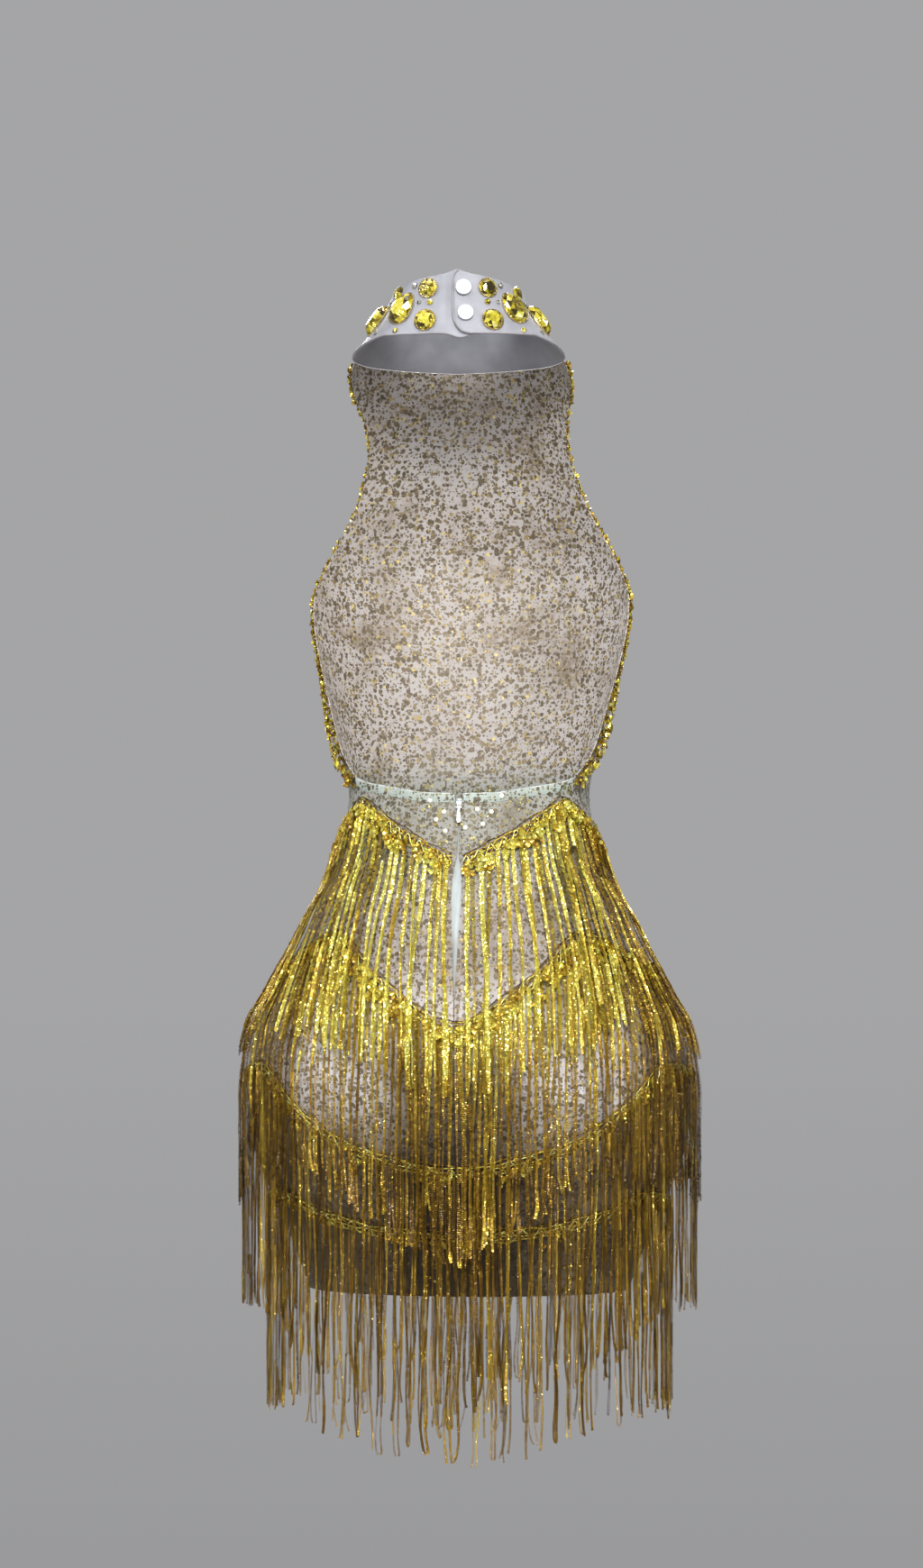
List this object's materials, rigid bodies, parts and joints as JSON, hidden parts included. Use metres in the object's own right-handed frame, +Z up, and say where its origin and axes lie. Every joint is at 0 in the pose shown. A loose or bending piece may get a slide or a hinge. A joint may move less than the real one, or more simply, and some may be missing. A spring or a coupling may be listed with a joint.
{
  "type": "sequin mini dress",
  "caption": "Backless halter mini dress in glitter mesh with zigzag tiers of gold sequin fringe, a jewelled snap collar and a short back zip, in its worn form",
  "frame": {"origin": "on the axis of the wearer's neck, at the middle of the collar's height", "axes": "+Z up, the wearer faces -Y so the open back faces +Y, +X is the wearer's left"},
  "size_m": [0.4172, 0.2692, 1.0593],
  "materials": {
    "collar_cloth": "smooth, soft sheen",
    "glitter_mesh": "sheer mesh with brown gold glitter dots",
    "waist_binding": "narrow satin binding",
    "gold_trim": "gold thread rows and small sequins",
    "gold_fringe": "bright gold sequins on strands",
    "gold_stone": "faceted rhinestones",
    "white_snap": "white moulded snap",
    "zip_tape": "smooth tape",
    "zip_metal": "pale coated metal"
  },
  "bodies": {
    "dress": {"bodice_front": "glitter_mesh", "collar": "collar_cloth", "edge_trim_left": "gold_stone", "edge_trim_right": "gold_stone", "fringe_1_left": "gold_fringe", "fringe_1_right": "gold_fringe", "fringe_2_left": "gold_fringe", "fringe_2_right": "gold_fringe", "fringe_3_left": "gold_fringe", "fringe_3_right": "gold_fringe", "fringe_4_left": "gold_fringe", "fringe_4_right": "gold_fringe", "heading_1_left": "gold_trim", "heading_1_right": "gold_trim", "heading_2_left": "gold_trim", "heading_2_right": "gold_trim", "heading_3_left": "gold_trim", "heading_3_right": "gold_trim", "heading_4_left": "gold_trim", "heading_4_right": "gold_trim", "skirt_back_left": "glitter_mesh", "skirt_back_right": "glitter_mesh", "skirt_front": "glitter_mesh", "snap_lower": "white_snap", "snap_upper": "white_snap", "stone_drop_long_left": "gold_stone", "stone_drop_long_right": "gold_stone", "stone_round_lower_left": "gold_stone", "stone_round_lower_right": "gold_stone", "stone_round_upper_left": "gold_stone", "stone_round_upper_right": "gold_stone", "stone_teardrop_left": "gold_stone", "stone_teardrop_right": "gold_stone", "waist_binding_left": "waist_binding", "waist_binding_right": "waist_binding", "zip_slider": "zip_metal", "zip_tape": "zip_tape"},
    "zip_pull": {"zip_pull": "zip_metal"}
  },
  "joints": [
    {"name": "zip_pull_swing", "type": "hinge", "parent": "dress", "child": "zip_pull", "pos_m": [-0.0096, 0.08672, -0.44611], "axis": [1, 0, 0], "range_deg": [0, 160]}
  ]
}
